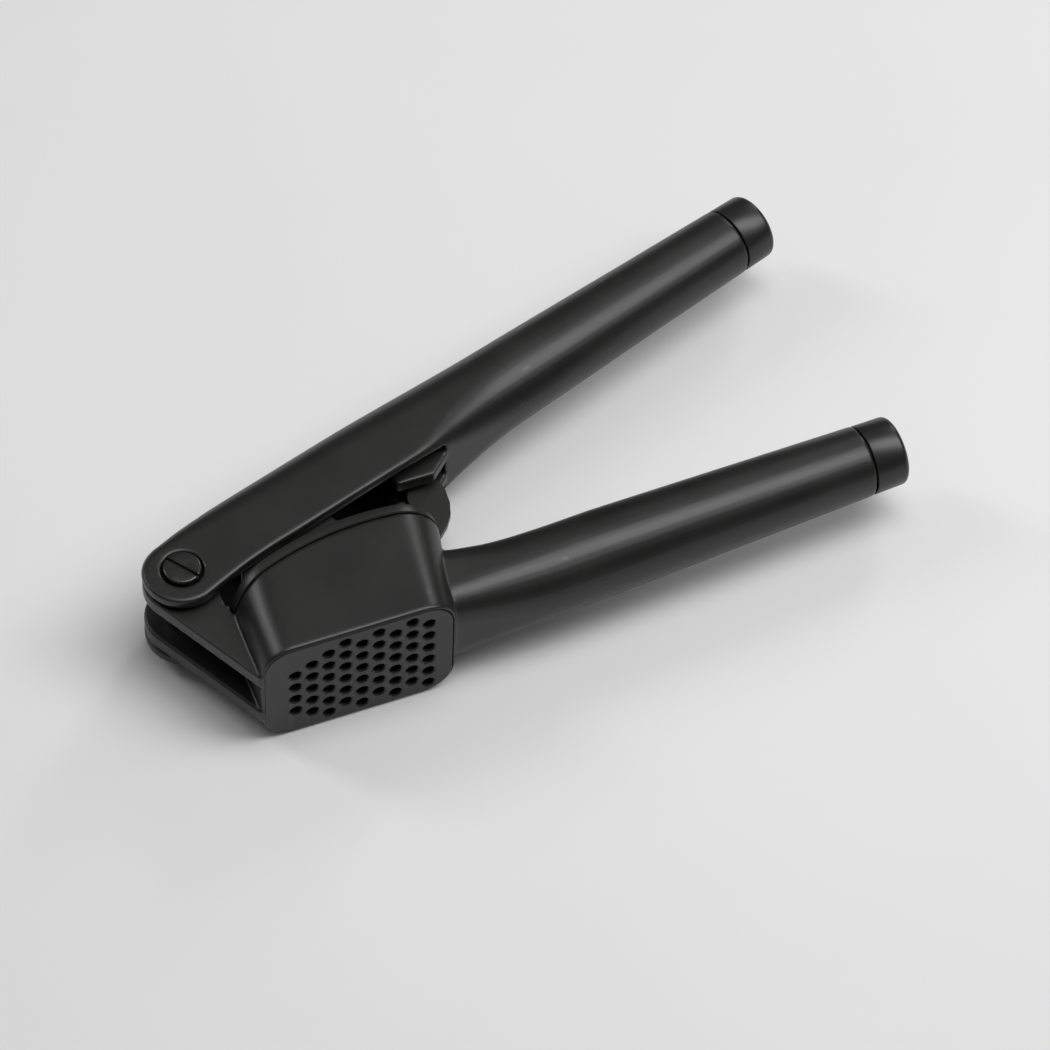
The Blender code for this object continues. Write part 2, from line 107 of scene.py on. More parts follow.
def skin(name, rings, strips=False):
    """Skin closed rings; arched ends are closed with strips across Z."""
    bm = bmesh.new()
    loops = [[bm.verts.new(p) for p in ring] for ring in rings]
    count = len(loops[0])
    for low, high in zip(loops, loops[1:]):
        for i in range(count):
            j = (i + 1) % count
            bm.faces.new((low[i], low[j], high[j], high[i]))
    for loop in (loops[0], loops[-1]):
        if strips:
            for i in range(count // 2 - 1):
                bm.faces.new((loop[i], loop[i + 1], loop[count - 2 - i], loop[count - 1 - i]))
        else:
            bm.faces.new(loop)
    bmesh.ops.connect_verts_nonplanar(bm, angle_limit=0.0001, faces=bm.faces)
    return solid(name, bm)


def slab(name, flat, z_low, z_high):
    """A flat shape in (x, y) given a thickness along Z."""
    return skin(name, [[(x, y, z) for x, y in flat] for z in (z_low, z_high)])


def turned(name, profile, sides=96):
    """A solid of revolution about Z from (radius, z) points, bottom to top."""
    angles = [2.0 * math.pi * i / sides for i in range(sides)]
    return skin(name, [[(r * math.cos(a), r * math.sin(a), z) for a in angles] for r, z in profile])


print("drawing tools ready")

# %% [markdown]
# ## Adding and cutting
# Exact Booleans keep the crisp intersections where walls meet.  The `evaluated` helper bakes
# whatever modifiers an object carries into its mesh, so every later step sees plain geometry.

# %% Booleans and placement
def evaluated(obj):
    """Replace an object's mesh by what its modifiers make of it."""
    depsgraph = bpy.context.evaluated_depsgraph_get()
    mesh = bpy.data.meshes.new_from_object(obj.evaluated_get(depsgraph))
    obj.modifiers.clear()
    obj.data = mesh


def combine(target, operation, tools):
    """Apply one Boolean per tool, in order, and use the tools up."""
    for tool in tools:
        mod = target.modifiers.new(operation, "BOOLEAN")
        mod.operation, mod.solver, mod.object = operation, "EXACT", tool
        evaluated(target)
        bpy.data.objects.remove(tool, do_unlink=True)


def cut(target, *tools):
    combine(target, "DIFFERENCE", tools)


def join(target, *tools):
    combine(target, "UNION", tools)


def turn(obj, degrees, centre=(0.0, 0.0)):
    """Turn a mesh about Z through its origin, then move that origin to centre."""
    obj.data.transform(Matrix.Translation((centre[0] * MM, centre[1] * MM, 0.0))
                       @ Matrix.Rotation(math.radians(degrees), 4, "Z"))


def settle(obj):
    """Carry a finished mesh from the hinge to its place in the frame."""
    obj.data.transform(Matrix.Translation(HINGE))


print("adding and cutting ready")

# %% [markdown]
# ## Soft corners
# A powder coat never leaves a knife edge: the casting is tumbled before coating, and the powder
# flows over its corners.  A voxel remesh followed by a little smoothing gives every edge and
# every inside corner that same small radius at once, which bevels on a Boolean result can't.

# %% Cast finish
def cast(obj, voxel=0.34, rounds=7, keep=0.5):
    """Soften a casting: voxel size in millimetres, smoothing rounds, share of faces kept."""
    remesh = obj.modifiers.new("even_skin", "REMESH")
    remesh.mode = "VOXEL"
    remesh.voxel_size = voxel * MM
    smooth = obj.modifiers.new("soft_corners", "SMOOTH")
    smooth.factor, smooth.iterations = 0.5, rounds
    thin = obj.modifiers.new("lighter", "DECIMATE")
    thin.ratio = keep
    evaluated(obj)
    obj.data.shade_smooth()
    print(obj.name, "has", len(obj.data.polygons), "faces")


def crisp(obj, degrees=30.0):
    """Smooth shading that keeps the corners of turned and moulded pieces."""
    obj.data.shade_smooth()
    obj.data.set_sharp_from_angle(angle=math.radians(degrees))


print("cast and crisp finishes ready")

# %% [markdown]
# ## Powder coat
# The coat is nearly black, satin, and has the faint orange-peel skin of baked powder.  Slow
# patches vary the colour and gloss, a fine grain lifts the surface, and the edges are a touch
# lighter and smoother where hands and drawers polish them.

# %% A coated surface
def mottled(name, dark, light, rough, patch, grain, lift, metal=0.0, edge=0.35, spec=0.5):
    """A coat with slow colour patches, fine grain and rubbed edges."""
    mat = bpy.data.materials.new(name)
    mat.use_nodes = True
    tree = mat.node_tree
    nodes, links = tree.nodes, tree.links
    shader = nodes["Principled BSDF"]
    shader.inputs["Metallic"].default_value = metal
    shader.inputs["Specular IOR Level"].default_value = spec
    coords = nodes.new("ShaderNodeTexCoord")
    slow = nodes.new("ShaderNodeTexNoise")
    slow.inputs["Scale"].default_value = patch
    slow.inputs["Detail"].default_value = 4.0
    links.new(coords.outputs["Object"], slow.inputs["Vector"])
    colour = nodes.new("ShaderNodeValToRGB")
    colour.color_ramp.elements[0].position, colour.color_ramp.elements[1].position = 0.3, 0.7
    colour.color_ramp.elements[0].color = (*dark, 1.0)
    colour.color_ramp.elements[1].color = (*light, 1.0)
    links.new(slow.outputs["Fac"], colour.inputs["Fac"])
    shape = nodes.new("ShaderNodeNewGeometry")
    rubbed = nodes.new("ShaderNodeMapRange")
    rubbed.inputs["From Min"].default_value, rubbed.inputs["From Max"].default_value = 0.53, 0.62
    rubbed.inputs["To Min"].default_value, rubbed.inputs["To Max"].default_value = 0.0, edge
    links.new(shape.outputs["Pointiness"], rubbed.inputs["Value"])
    worn = nodes.new("ShaderNodeMix")
    worn.data_type = "RGBA"
    worn.inputs["B"].default_value = tuple(3.2 * c for c in light) + (1.0,)
    links.new(rubbed.outputs["Result"], worn.inputs["Factor"])
    links.new(colour.outputs["Color"], worn.inputs["A"])
    links.new(worn.outputs["Result"], shader.inputs["Base Color"])
    gloss = nodes.new("ShaderNodeMapRange")
    gloss.inputs["To Min"].default_value, gloss.inputs["To Max"].default_value = rough
    links.new(slow.outputs["Fac"], gloss.inputs["Value"])
    polished = nodes.new("ShaderNodeMath")
    polished.operation = "MULTIPLY_ADD"
    polished.inputs[1].default_value = -0.2
    links.new(rubbed.outputs["Result"], polished.inputs[0])
    links.new(gloss.outputs["Result"], polished.inputs[2])
    links.new(polished.outputs["Value"], shader.inputs["Roughness"])
    peel = nodes.new("ShaderNodeTexNoise")
    peel.inputs["Scale"].default_value = grain
    peel.inputs["Detail"].default_value = 3.0
    links.new(coords.outputs["Object"], peel.inputs["Vector"])
    bump = nodes.new("ShaderNodeBump")
    bump.inputs["Strength"].default_value = lift
    bump.inputs["Distance"].default_value = 0.00004
    links.new(peel.outputs["Fac"], bump.inputs["Height"])
    links.new(bump.outputs["Normal"], shader.inputs["Normal"])
    return mat


POWDER = mottled("satin_black_powder", (0.008, 0.008, 0.0075), (0.013, 0.013, 0.012),
                 (0.34, 0.42), 60.0, 2400.0, 0.3)
BASKET_COAT = mottled("basket_black_powder", (0.008, 0.008, 0.0075), (0.013, 0.013, 0.012),
                      (0.36, 0.44), 80.0, 2600.0, 0.25)
CAP_PLASTIC = mottled("cap_black_plastic", (0.009, 0.009, 0.009), (0.013, 0.013, 0.013),
                      (0.32, 0.38), 90.0, 3200.0, 0.15)
NYLON = mottled("dark_nylon", (0.03, 0.03, 0.03), (0.045, 0.045, 0.043),
                (0.45, 0.6), 120.0, 3000.0, 0.2)
print("coats:", [m.name for m in (POWDER, BASKET_COAT, CAP_PLASTIC, NYLON)])

# %% [markdown]
# ## Blackened steel
# The hinge heads are turned on a lathe and then blackened, so their faces carry very fine
# circular tool marks.  Rings centred on the hinge make that mark, and a slow noise breaks it up.

# %% Turned steel
def turned_steel(name):
    """Blackened steel with circular tool marks about the hinge."""
    mat = mottled(name, (0.05, 0.05, 0.048), (0.08, 0.08, 0.076), (0.28, 0.38), 300.0, 2800.0, 0.1,
                  metal=0.9, edge=0.5)
    nodes, links = mat.node_tree.nodes, mat.node_tree.links
    coords = nodes.new("ShaderNodeTexCoord")
    centre = nodes.new("ShaderNodeMapping")
    centre.vector_type = "POINT"
    centre.inputs["Location"].default_value = -HINGE
    links.new(coords.outputs["Object"], centre.inputs["Vector"])
    rings = nodes.new("ShaderNodeTexWave")
    rings.wave_type, rings.rings_direction = "RINGS", "Z"
    rings.inputs["Scale"].default_value = 900.0
    rings.inputs["Distortion"].default_value = 1.2
    links.new(centre.outputs["Vector"], rings.inputs["Vector"])
    marks = nodes.new("ShaderNodeBump")
    marks.inputs["Strength"].default_value = 0.25
    marks.inputs["Distance"].default_value = 0.00002
    links.new(rings.outputs["Fac"], marks.inputs["Height"])
    links.new(nodes["Bump"].outputs["Normal"], marks.inputs["Normal"])
    links.new(marks.outputs["Normal"], nodes["Principled BSDF"].inputs["Normal"])
    return mat


STEEL = turned_steel("blackened_turned_steel")


def dress(obj, mat, slot_name, body, *nodes):
    """Give a new piece its finish, its place in the frame and the body it rides on, and hide the parts it
    replaces.
    """
    settle(obj)
    obj.data.materials.clear()
    obj.data.materials.append(mat)
    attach(obj, body)
    if nodes:
        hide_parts(*nodes)


print("steel finish:", STEEL.name)

# %% [markdown]
# ## The lever
# One casting: two ears that straddle the fork, an open channel that hides the plunger's stem,
# and a tube for the hand.  Its section starts as a flat-sided box and becomes a circle past the
# end of the channel, so the flat flank runs out in a long highlight along the tube.

# %% Lever sections
# Lengths run from the hinge along the lever (t), up from it (n) and across it (z).
EYE_R, EAR_OUT, EAR_IN = 8.6, 11.8, 9.2
LEVER_ANGLE, LEVER_LIFT, LEVER_END = 18.4, 3.0, 155.4
LEVER_ROUND, LEVER_R1, LEVER_R2 = 130.0, 8.3, 7.75
CHANNEL_TOP, CHANNEL_END, EYE_ROOM = 8.7, 66.0, 12.0
# Each row: t, underside, back, half width, corner radius on the back, corner radius underneath.
LEVER_ROWS = [(0.0, -EYE_R, EYE_R + 0.3, EAR_OUT, 2.6, 0.8),
              (6.0, -7.9, 10.2, EAR_OUT, 4.2, 0.8),
              (14.0, -7.2, 11.2, EAR_OUT, 5.8, 0.8),
              (30.0, -7.2, 11.6, EAR_OUT, 7.0, 0.8),
              (50.0, -7.2, 12.0, 11.4, 8.0, 1.0),
              (61.0, -7.1, 12.2, 10.8, 8.6, 1.8),
              (72.0, LEVER_LIFT - 9.7, LEVER_LIFT + 9.3, 10.1, 9.0, 5.6),
              (84.0, LEVER_LIFT - 9.3, LEVER_LIFT + 9.2, 9.5, 9.1, 8.4),
              (100.0, LEVER_LIFT - 9.1, LEVER_LIFT + 9.0, 9.05, 8.95, 8.9),
              (LEVER_ROUND, LEVER_LIFT - LEVER_R1, LEVER_LIFT + LEVER_R1, LEVER_R1, LEVER_R1, LEVER_R1)]


def lever_section(t):
    """The lever's section at t: a round nose, the blended rows, then a plain tapering tube."""
    if t < 0.0:
        reach = math.sqrt(max(0.0, 1.0 - (t / EYE_R) ** 2))
        low, high, half, r_high, r_low = LEVER_ROWS[0][1:]
        section = rounded_box(low * reach, high * reach, half, r_high * reach, r_low * reach)
    elif t > LEVER_ROUND:
        radius = LEVER_R1 + (LEVER_R2 - LEVER_R1) * (t - LEVER_ROUND) / (LEVER_END - LEVER_ROUND)
        section = rounded_box(LEVER_LIFT - radius, LEVER_LIFT + radius, radius, radius, radius)
    else:
        section = rounded_box(*blend_rows(LEVER_ROWS, t))
    return [(t, n, z) for n, z in section]


nose = [-EYE_R * math.cos(math.radians(a)) for a in range(6, 90, 7)]
body_t = [2.0 * i for i in range(65)] + [LEVER_ROUND, 142.0, LEVER_END]
lever = skin("lever", [lever_section(t) for t in nose + body_t])
print("lever drawn from", len(nose + body_t), "sections")

# %% [markdown]
# The channel, the room for the fork and the hinge bore with its two counterbores are cut out,
# and the two guide lugs that straddle the basket's tab are added.  The plunger's pin simply
# ends inside the two walls, and the hand tube is drawn solid, because neither can be seen.

# %% Lever details
BORE_R, SINK_R, SINK_Z = 3.0, 4.55, 10.2
PIN_T, PIN_N, PIN_R = 30.0, -2.3, 2.0
CHANNEL_CORNER, CHANNEL_TAPER, LUG_Z = 5.0, 1.4, (2.4, 5.6)
LUG = [(52.4, -7.3), (60.4, -10.0), (66.0, -7.4), (68.0, -5.5), (68.0, CHANNEL_TOP + 1.0),
       (52.4, CHANNEL_TOP + 1.0)]
channel_halves = ((EYE_ROOM - 2.0, EAR_IN), (54.0, EAR_IN), (CHANNEL_END, EAR_IN - CHANNEL_TAPER))
cut(lever, skin("channel", [
    [(t, n, z) for n, z in rounded_box(-THROUGH, CHANNEL_TOP, half, CHANNEL_CORNER, 0.5)]
    for t, half in channel_halves]))
cut(lever, slab("eye_room", [(-THROUGH, -THROUGH), (EYE_ROOM, -THROUGH), (EYE_ROOM, THROUGH),
                             (-THROUGH, THROUGH)], -EAR_IN - 0.01, EAR_IN + 0.01))
join(lever, slab("near_lug", LUG, *LUG_Z), slab("far_lug", LUG, -LUG_Z[1], -LUG_Z[0]))
cut(lever, turned("bore", [(SINK_R, -THROUGH), (SINK_R, -SINK_Z), (BORE_R, -SINK_Z), (BORE_R, SINK_Z),
                           (SINK_R, SINK_Z), (SINK_R, THROUGH)]))
cast(lever)
turn(lever, LEVER_ANGLE)
dress(lever, POWDER, "powder_coat", "lever", "lever_body")

# %% [markdown]
# ## The sleeve, fork and lower handle
# The lower half is one casting too.  The sleeve is a rounded oblong ring whose mouth is a
# gentle arch.  The fork's two plates run from the hinge to its floor, and the neck flows out
# of its far wall into the hand tube.

# %% Sleeve outline
FLOOR_Y, WAIST_Y = -29.9, -18.0
SLEEVE_X, MOUTH_X, SLEEVE_W = (7.2, 50.6), (7.0, 55.8), 15.2
FLOOR_CORNER, MOUTH_CORNER = 7.0, 9.5
SLEEVE_WALL, BASKET_WALL, GAP = 1.0, 0.6, 0.3
FLOOR_T, RIM_H = 1.5, 2.5
ARCH_X, ARCH_Y, ARCH_R = 40.0, -4.0, 68.0


def arch(x, rise=0.0):
    """Height of the arched mouth over a station of the sleeve."""
    return ARCH_Y + rise - ARCH_R + math.sqrt(ARCH_R ** 2 - (x - ARCH_X) ** 2)


def outline(height, depth, inset):
    """Ring of the sleeve's outline; height is a number or a rule, depth runs 0 to 1."""
    x0 = SLEEVE_X[0] + (MOUTH_X[0] - SLEEVE_X[0]) * depth + inset
    x1 = SLEEVE_X[1] + (MOUTH_X[1] - SLEEVE_X[1]) * depth - inset
    corner = FLOOR_CORNER + (MOUTH_CORNER - FLOOR_CORNER) * depth - inset
    half = SLEEVE_W - inset
    side = arc((x1 - corner, half - corner), corner, 0, 90, 12)
    side += [(x1 - corner + (x0 - x1 + 2.0 * corner) * k / 12.0, half) for k in range(1, 12)]
    side += arc((x0 + corner, half - corner), corner, 90, 180, 12)
    ring = side + [(x, -z) for x, z in reversed(side)]
    if callable(height):
        return [(x, height(x), z) for x, z in ring]
    return [(x, height, z) for x, z in ring]


def share(y):
    """How far a level is from the floor towards the mouth, 0 to 1."""
    return (y - FLOOR_Y) / (ARCH_Y - FLOOR_Y)


def walls(name, inset, bottom, top, lip=0.0):
    """A block with the sleeve's outline, flat below, arched above, its foot rounded by lip."""
    rings = []
    if lip:
        rings = [outline(bottom + lip * (1.0 - math.cos(math.radians(a))), 0.0,
                         inset + lip * (1.0 - math.sin(math.radians(a)))) for a in (0, 22, 45, 68)]
        bottom += lip
    rings += [outline(bottom, max(0.0, share(bottom)), inset), outline(WAIST_Y, share(WAIST_Y), inset)]
    rings += [outline(lambda x: arch(x, top), 1.0, inset)]
    return skin(name, rings, True)


sleeve = walls("sleeve_and_handle", 0.0, FLOOR_Y, 0.0, lip=0.7)
print("mouth at the hinge end", round(arch(MOUTH_X[0]), 2),
      "and at the far end", round(arch(MOUTH_X[1]), 2))

# %% [markdown]
# The neck is another string of sections: a wide, softly cornered root that draws in to a round
# tube.  Its root starts inside the sleeve wall, so the union leaves a groove between them.

# %% Neck and hand tube
LOWER_ANGLE, LOWER_DROP, LOWER_END = 3.2, -23.6, 149.6
LOWER_ROUND, LOWER_R1, LOWER_R2 = 88.0, 9.5, 7.9
# Each row: distance along the handle, underside, back, half width, corner radius.
NECK_ROWS = [(47.0, -31.4, -13.0, 11.0, 6.0),
             (52.0, -31.7, -13.3, 10.8, 6.6),
             (57.0, -32.1, -13.8, 10.4, 7.4),
             (64.0, -32.7, -14.3, 10.0, 8.4),
             (74.0, LOWER_DROP - 9.6, LOWER_DROP + 9.4, 9.6, 9.2),
             (LOWER_ROUND, LOWER_DROP - LOWER_R1, LOWER_DROP + LOWER_R1, LOWER_R1, LOWER_R1)]


def neck_section(s):
    """The handle's section at s: the blended rows, then a plain tapering tube."""
    if s > LOWER_ROUND:
        radius = LOWER_R1 + (LOWER_R2 - LOWER_R1) * (s - LOWER_ROUND) / (LOWER_END - LOWER_ROUND)
        section = rounded_box(LOWER_DROP - radius, LOWER_DROP + radius, radius, radius, radius)
    else:
        low, high, half, corner = blend_rows(NECK_ROWS, s)
        section = rounded_box(low, high, half, corner, corner)
    return [(s, n, z) for n, z in section]


neck_s = [47.0 + 1.5 * i for i in range(28)] + [110.0, 130.0, LOWER_END]
neck = skin("neck", [neck_section(s) for s in neck_s])
turn(neck, LOWER_ANGLE)
join(sleeve, neck)
print("neck joined to the sleeve")

# %% [markdown]
# The fork's plates are flat slabs with a round eye at the hinge.  After they are joined, the
# sleeve is hollowed for the basket, and the rim's seat and the hinge bore are cut.  The hand
# tube is drawn solid here too, behind its plug.

# %% Fork and hollow
FORK_IN, FORK_OUT = 4.5, 8.2
fork = arc((0.0, 0.0), EYE_R, -43.0, 212.0, 72)
fork += [(SLEEVE_X[0] - 0.4, FLOOR_Y + 0.02), (9.5, FLOOR_Y + 0.02), (9.5, -9.6), (6.2, -9.6)]
join(sleeve, slab("near_plate", fork, FORK_IN, FORK_OUT),
     slab("far_plate", fork, -FORK_OUT, -FORK_IN))
cut(sleeve, walls("cavity", SLEEVE_WALL, FLOOR_Y - 3.0, 2.0))
cut(sleeve, skin("rim_seat", [outline(arch, 1.0, -GAP),
                              outline(lambda x: arch(x, RIM_H + 2.0 * GAP), 1.0, -GAP)], True))
cut(sleeve, turned("bore", [(BORE_R, -THROUGH), (BORE_R, THROUGH)]))
cast(sleeve)
dress(sleeve, POWDER, "powder_coat", "frame", "lower_body")

# %% [markdown]
# ## The sieve basket
# A thin pressed cup: arched rim, perforated floor, and a curved tab on the far wall to lift it
# by.  It is too thin for the voxel skin, so it is cut with exact solids and shaded crisply.  The
# edge of its floor runs a quarter of a millimetre into the sleeve's wall, to leave a fine line.

# %% Basket
HOLE_R, PITCH_Z = 1.35, 4.32
PITCH_X = PITCH_Z * math.sqrt(3.0) / 2.0
HOLE_X0, HOLE_Z0, COLUMNS = 14.6, 1.08, 9
FLOOR_EDGE = ((-0.02, 0.85), (0.06, 0.72), (FLOOR_T, 0.72))     # (height over the floor, inset)


def hole_centres():
    """Staggered columns; the corners at the hinge end are left solid."""
    centres = []
    for column in range(COLUMNS):
        rows = (2, 1, 0, -1, -2, -3) if column % 2 == 0 else (2.5, 1.5, 0.5, -0.5, -1.5, -2.5)
        rows = rows[1:-1] if column == 0 else rows[1:] if column == 1 else rows
        centres += [(HOLE_X0 + column * PITCH_X, HOLE_Z0 + row * PITCH_Z) for row in rows]
    return centres


def drills():
    """One rod per hole, flared a little at its mouth."""
    bm = bmesh.new()
    steps = 28
    for x, z in hole_centres():
        loops = []
        for radius, rise in ((HOLE_R + 0.35, -0.15), (HOLE_R, 0.25), (HOLE_R, 3.0)):
            y = FLOOR_Y + rise
            loops.append([bm.verts.new((x + radius * math.cos(a), y, z + radius * math.sin(a)))
                          for a in (2.0 * math.pi * k / steps for k in range(steps))])
        for low, high in zip(loops, loops[1:]):
            for i in range(steps):
                j = (i + 1) % steps
                bm.faces.new((low[i], low[j], high[j], high[i]))
        bm.faces.new(loops[0])
        bm.faces.new(loops[-1])
    return solid("drills", bm)


fit = SLEEVE_WALL + GAP
basket = walls("basket", fit, FLOOR_Y + 0.05, GAP + 0.6)
rim_rings = [(GAP, 0.25), (GAP + 0.25, 0.0), (GAP + RIM_H - 0.7, 0.0),
             (GAP + RIM_H - 0.2, 0.2), (GAP + RIM_H, 0.7)]
join(basket, skin("floor_edge", [outline(FLOOR_Y + rise, 0.0, inset) for rise, inset in FLOOR_EDGE],
                  True))
join(basket, skin("rim", [outline(lambda x, r=rise: arch(x, r), 1.0, inset)
                          for rise, inset in rim_rings], True))
cut(basket, walls("hollow", fit + BASKET_WALL, FLOOR_Y + FLOOR_T, 5.0))
print(len(hole_centres()), "holes to drill")

# %% [markdown]
# The lifting tab is a flat blade in the middle of the far wall.  Its outer edge is an arc about
# the hinge side, so the lever's two lugs can close over it on either side.

# %% Tab and holes
TAB_Z = (-0.75, 0.75)
tab = [(53.9, -3.4), (53.9, 8.6), (54.6, 10.2), (56.5, 11.0), (62.0, 11.0), (62.5, 8.0)]
tab += [(62.2, 4.5), (61.3, 1.6), (59.6, -0.9), (57.6, -2.8), (55.4, -4.6)]
join(basket, slab("tab", tab, *TAB_Z))
cut(basket, drills())
crisp(basket)
dress(basket, BASKET_COAT, "powder_coat_basket", "frame", "sieve_basket")

# %% [markdown]
# ## The plunger
# Its pressing head fits the basket and its thick stem climbs into the lever's channel.  It is
# drawn flat to the basket's floor, as it lies with the press closed, and then turned about its
# pin to the pose of the frame.

# %% Plunger
CLOSE_ANGLE, TURN_SHARE = 12.5, 0.25
HEAD_X, HEAD_W, HEAD_T, STEM_W = (11.4, 45.6), 11.8, 4.5, 8.4
HEAD_CORNER, WEB = 5.0, 2.0     # corner of the head, half thickness of the stem between its pockets


def turned_point(x, y, degrees):
    """A point carried round the hinge."""
    a = math.radians(degrees)
    return x * math.cos(a) - y * math.sin(a), x * math.sin(a) + y * math.cos(a)


pin_open = turned_point(PIN_T, PIN_N, LEVER_ANGLE)
px, py = turned_point(PIN_T, PIN_N, LEVER_ANGLE - CLOSE_ANGLE)
head_y = FLOOR_Y + FLOOR_T + 0.6
mid_x = (HEAD_X[0] + HEAD_X[1]) / 2.0
head_rings = []
for y, inset in ((head_y, 0.6), (head_y + 0.6, 0.0), (head_y + HEAD_T, 0.0)):
    section = rounded_box(HEAD_X[0] - mid_x + inset, HEAD_X[1] - mid_x - inset,
                          HEAD_W - inset, HEAD_CORNER, HEAD_CORNER)
    head_rings.append([(mid_x + x, y, z) for x, z in section])
plunger = skin("plunger_casting", head_rings)
stem_top, stem_foot = py + 4.6, head_y + HEAD_T
stem = [(13.0, stem_foot - 0.5), (43.0, stem_foot - 0.5), (37.6, -9.0), (36.3, -5.0),
        (px + 5.3, py - 3.2), (px + 4.6, stem_top), (px - 8.0, stem_top), (11.6, -6.2),
        (10.0, -9.6), (10.0, -12.5)]
join(plunger, slab("stem", stem, -STEM_W, STEM_W))
pocket = [(17.0, stem_foot), (39.0, stem_foot), (35.0, -10.0), (33.0, py - 6.0),
          (px - 5.5, py - 6.0), (15.5, -11.0)]
cut(plunger, slab("near_pocket", pocket, WEB, THROUGH), slab("far_pocket", pocket, -THROUGH, -WEB))
pin_hole = turned("pin_hole", [(PIN_R + GAP, -THROUGH), (PIN_R + GAP, THROUGH)])
turn(pin_hole, 0.0, (px, py))
cut(plunger, pin_hole)
cast(plunger, 0.4, 5)
turn(plunger, 0.0, (-px, -py))
turn(plunger, (1.0 - TURN_SHARE) * CLOSE_ANGLE, pin_open)
dress(plunger, POWDER, "powder_coat", "plunger", "plunger")

# %% [markdown]
# ## Hinge heads
# Both heads are shallow turned discs with a softened rim and a straight screwdriver slot.  The
# visible one sits a hair proud of the lever's flank, inside its counterbore.

# %% Screw and barrel
HEAD_R, HEAD_TOP, SHANK_R, BARREL_R = 4.1, 12.45, 1.7, 2.7
SLOT_REACH, SLOT_HALF, SLOT_DEPTH = 6.0, 0.45, 0.9
NEAR_SLOT, FAR_SLOT = -53.0, 24.0               # degrees about the hinge axis


def slot_tool(z_low, z_high, angle):
    """A cutter for a screwdriver slot across the hinge axis."""
    tool = slab("slot", [(-SLOT_REACH, -SLOT_HALF), (SLOT_REACH, -SLOT_HALF), (SLOT_REACH, SLOT_HALF),
                         (-SLOT_REACH, SLOT_HALF)], z_low, z_high)
    turn(tool, angle)
    return tool


def head_profile(top, rim=0.45, steps=6):
    """The rounded shoulder of a turned head, from its underside to its face."""
    return arc((HEAD_R - rim, top - rim), rim, 0, 90, steps) + [(HEAD_R - 1.6, top)]


screw = turned("hinge_screw_head", [(SHANK_R - 0.3, -5.0), (SHANK_R, -4.6), (SHANK_R, SINK_Z + GAP),
                                    (HEAD_R - 0.15, SINK_Z + GAP + 0.01), (HEAD_R, SINK_Z + GAP + 0.15)]
               + head_profile(HEAD_TOP))
cut(screw, slot_tool(HEAD_TOP - SLOT_DEPTH, HEAD_TOP + 2.0, NEAR_SLOT))
crisp(screw, 40.0)
dress(screw, STEEL, "blackened_steel", "frame", "hinge_screw")
far_face = [(r, -z) for r, z in reversed(head_profile(HEAD_TOP))]
barrel = turned("hinge_barrel_head", far_face + [(HEAD_R, -SINK_Z - GAP - 0.01), (BARREL_R, -SINK_Z - GAP),
                                                 (BARREL_R, SINK_Z - 0.1)])
cut(barrel, turned("screw_hole", [(SHANK_R + GAP, -6.0), (SHANK_R + GAP, THROUGH)]),
    slot_tool(-HEAD_TOP - 2.0, -HEAD_TOP + SLOT_DEPTH, FAR_SLOT))
crisp(barrel, 40.0)
dress(barrel, STEEL, "blackened_steel", "frame", "hinge_barrel")

# %% [markdown]
# ## End plugs
# Each handle is closed by a moulded plug.  Only its button shows: a fine parting gap against the
# tube, a straight side and a rounded end.  A short neck reaches into the tube behind the gap.

# %% Plugs
CAP_LEN, CAP_EDGE = 8.2, 1.3


def ring_on_axis(t, radius, lift, sides=96):
    """A circle round a handle's axis, at t along it."""
    return [(t, lift + radius * math.cos(2.0 * math.pi * i / sides),
             radius * math.sin(2.0 * math.pi * i / sides)) for i in range(sides)]


def plug(name, end, radius, lift, angle, body, node):
    start = end + GAP
    rings = [(end - 1.5, radius - 1.0), (start, radius - 1.0), (start + 0.01, radius - 0.35),
             (start + 0.1, radius - 0.1), (start + 0.3, radius)]
    rings += [(end + CAP_LEN - CAP_EDGE + CAP_EDGE * math.sin(math.radians(a)),
               radius - 0.12 - CAP_EDGE * (1.0 - math.cos(math.radians(a)))) for a in range(0, 91, 9)]
    rings += [(end + CAP_LEN, radius * 0.4)]
    piece = skin(name, [ring_on_axis(t, r, lift) for t, r in rings])
    turn(piece, angle)
    crisp(piece, 35.0)
    dress(piece, CAP_PLASTIC, "cap_plastic", body, node)
    print(name, "is", round(2.0 * radius, 2), "mm across")


plug("upper_plug", LEVER_END, LEVER_R2, LEVER_LIFT, LEVER_ANGLE, "lever", "upper_end_cap")
plug("lower_plug", LOWER_END, LOWER_R2, LOWER_DROP, LOWER_ANGLE, "frame", "lower_end_cap")

# %% [markdown]
# ## Small pieces that stay as they are
# The pin, spacer and washers sit deep in the mechanism and already have their true shape, so
# they only get their finish.

# %% Finish the carried-over pieces
CARRIED_OVER = (("plunger_pin", STEEL), ("fork_spacer", STEEL),
                ("near_washer", NYLON), ("far_washer", NYLON))
for name, mat in CARRIED_OVER:
    node = frame["nodes"][name]
    node.data.materials.clear()
    node.data.materials.append(mat)
    print(name, "finished in", mat.name)

# %% [markdown]
# ## Table
# A plain pale table carries the press and throws light back on to the perforated floor and the
# undersides of the tubes.

# %% Table
TABLE_HALF, TABLE_DROP = 3.0, 0.0002            # metres


def table_top():
    """A square table just under the press."""
    bm = bmesh.new()
    bmesh.ops.create_grid(bm, x_segments=1, y_segments=1, size=TABLE_HALF)
    mesh = bpy.data.meshes.new("table_top")
    bm.to_mesh(mesh)
    bm.free()
    top = bpy.data.objects.new("table_top", mesh)
    top.location.z = -TABLE_DROP
    bpy.context.scene.collection.objects.link(top)
    top.data.materials.append(mottled("pale_table", (0.76, 0.76, 0.76), (0.79, 0.79, 0.79),
                                      (0.7, 0.8), 6.0, 60.0, 0.02, edge=0.0, spec=0.2))


table_top()
print("table laid")

